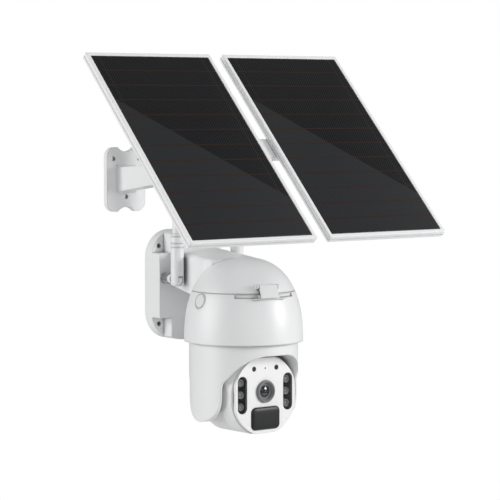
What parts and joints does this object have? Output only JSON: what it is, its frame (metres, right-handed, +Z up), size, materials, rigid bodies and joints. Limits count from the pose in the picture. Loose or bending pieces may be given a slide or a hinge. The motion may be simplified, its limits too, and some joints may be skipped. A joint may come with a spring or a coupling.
{
  "type": "solar security camera",
  "caption": "Wall-mounted pan and tilt security camera with a domed battery housing, two folding antennas, a yoke-held lens pod and a separate tilting twin solar panel on an arm.",
  "frame": {"origin": "centre of the camera wall base's back face, on the wall", "axes": "+Z up, +Y into the wall, -Y out of the wall along the camera's line of sight, +X to the right when facing the wall"},
  "size_m": [0.299, 0.3179, 0.3723],
  "materials": {
    "gasket_rubber": "matt",
    "white_shell": "fine satin texture",
    "face_white": "smooth satin",
    "inner_plastic": "matt",
    "black_plastic": "satin",
    "badge_plastic": "satin",
    "card_rubber": "matt",
    "steel_metal": "turned",
    "circuit_board": "lacquered",
    "cell_wrap": "heat-shrunk sleeve",
    "gear_plastic": "satin",
    "lens_coated": "coated",
    "led_clear": "clear dome",
    "slot_clear": "clear window",
    "sensor_dark": "gloss",
    "frame_silver": "satin white paint",
    "solar_cells": "dark cells with thin lines",
    "solar_cover": "clear laminate"
  },
  "bodies": {
    "wall_mounts": {"wall_gasket": "gasket_rubber", "wall_base": "white_shell", "back_plate": "inner_plastic", "dc_inlet": "black_plastic", "antenna_jacks": "steel_metal", "antenna_nuts": "steel_metal", "dome_body": "white_shell", "side_badge": "badge_plastic", "pan_floor": "inner_plastic", "pan_bearing": "inner_plastic", "pan_motor": "steel_metal", "main_board": "circuit_board", "battery_holder": "inner_plastic", "battery_cells": "cell_wrap", "panel_bracket": "white_shell", "swivel_pin": "steel_metal"},
    "battery_lid": {"battery_cover": "white_shell", "latch_pin": "steel_metal"},
    "latch": {"latch_flap": "white_shell"},
    "pan_drive": {"pan_pinion": "gear_plastic"},
    "yoke_unit": {"yoke": "white_shell", "pan_gear": "gear_plastic", "tilt_pins": "steel_metal", "tilt_washers": "inner_plastic", "tilt_gear": "gear_plastic"},
    "pod": {"pod_shell": "white_shell", "pod_face": "face_white", "image_board": "circuit_board", "lens_barrel": "black_plastic", "lens_glass": "lens_coated", "led_board": "circuit_board", "led_lenses": "led_clear", "led_windows": "slot_clear", "pir_window": "sensor_dark", "pir_sensor": "steel_metal", "light_sensors": "sensor_dark", "microphone": "steel_metal", "speaker": "black_plastic", "pod_board": "circuit_board", "tilt_motor": "steel_metal", "card_socket": "steel_metal", "card_cover_pin": "steel_metal"},
    "tilt_drive": {"tilt_pinion": "gear_plastic"},
    "card_flap": {"card_cover": "card_rubber"},
    "reset_key": {"reset_button": "black_plastic"},
    "elbow_left": {"knuckle_left": "white_shell", "elbow_pin_left": "steel_metal"},
    "aerial_left": {"antenna_left": "white_shell"},
    "elbow_right": {"knuckle_right": "white_shell", "elbow_pin_right": "steel_metal"},
    "aerial_right": {"antenna_right": "white_shell"},
    "panel_swivel": {"swivel_head": "white_shell", "tilt_bolt": "steel_metal"},
    "panel_knob": {"lock_knob": "black_plastic"},
    "panel_array": {"cross_bar": "white_shell", "panel_frames": "frame_silver", "panel_cells": "solar_cells", "panel_glass": "solar_cover", "junction_boxes": "inner_plastic", "bar_screws": "steel_metal"}
  },
  "joints": [
    {"name": "pan", "type": "hinge", "parent": "wall_mounts", "child": "yoke_unit", "pos_m": [0, -0.109, -0.053], "axis": [0, 0, 1], "range_deg": [-175, 175]},
    {"name": "pan_motor_spin", "type": "hinge", "parent": "wall_mounts", "child": "pan_drive", "pos_m": [0, -0.0789, -0.045], "axis": [0, 0, 1], "range_deg": [-700, 700]},
    {"name": "tilt", "type": "hinge", "parent": "yoke_unit", "child": "pod", "pos_m": [0, -0.109, -0.103], "axis": [1, 0, 0], "range_deg": [-5, 90]},
    {"name": "tilt_motor_spin", "type": "hinge", "parent": "pod", "child": "tilt_drive", "pos_m": [-0.032, -0.0881, -0.103], "axis": [1, 0, 0], "range_deg": [-16.67, 300]},
    {"name": "battery_cover_lift", "type": "slide", "parent": "wall_mounts", "child": "battery_lid", "axis": [0, 0, 1], "range_m": [0, 0.03]},
    {"name": "latch_flip", "type": "hinge", "parent": "battery_lid", "child": "latch", "pos_m": [-0.0087, -0.15832, 0.00654], "axis": [-0.9848, 0.1736, 0], "range_deg": [0, 90]},
    {"name": "card_cover_swing", "type": "hinge", "parent": "pod", "child": "card_flap", "pos_m": [0, -0.1204, -0.1397], "axis": [1, 0, 0], "range_deg": [0, 100]},
    {"name": "reset_press", "type": "slide", "parent": "pod", "child": "reset_key", "axis": [0, 0, 1], "range_m": [0, 0.0008], "stiffness_N_per_m": 300},
    {"name": "antenna_left_turn", "type": "hinge", "parent": "wall_mounts", "child": "elbow_left", "pos_m": [-0.038, -0.04, 0.008], "axis": [0, -1, 0], "range_deg": [-2, 7]},
    {"name": "antenna_left_fold", "type": "hinge", "parent": "elbow_left", "child": "aerial_left", "pos_m": [-0.038, -0.049, 0.008], "axis": [1, 0, 0], "range_deg": [0, 30]},
    {"name": "antenna_right_turn", "type": "hinge", "parent": "wall_mounts", "child": "elbow_right", "pos_m": [0.038, -0.04, 0.008], "axis": [0, -1, 0], "range_deg": [-90, 2]},
    {"name": "antenna_right_fold", "type": "hinge", "parent": "elbow_right", "child": "aerial_right", "pos_m": [0.038, -0.049, 0.008], "axis": [1, 0, 0], "range_deg": [0, 30]},
    {"name": "panel_turn", "type": "hinge", "parent": "wall_mounts", "child": "panel_swivel", "pos_m": [-0.07, -0.196, 0.128], "axis": [0, 0, 1], "range_deg": [-35, 35]},
    {"name": "panel_lean", "type": "hinge", "parent": "panel_swivel", "child": "panel_array", "pos_m": [-0.07, -0.2183, 0.12994], "axis": [1, 0, 0], "range_deg": [-30, 44]},
    {"name": "lock_knob_turn", "type": "hinge", "parent": "panel_swivel", "child": "panel_knob", "pos_m": [-0.088, -0.2183, 0.12994], "axis": [1, 0, 0], "range_deg": [0, 720]}
  ],
  "couplings": [
    {"joint": "pan_motor_spin", "follows": "pan", "ratio": -4},
    {"joint": "tilt_motor_spin", "follows": "tilt", "ratio": 3.3333}
  ]
}
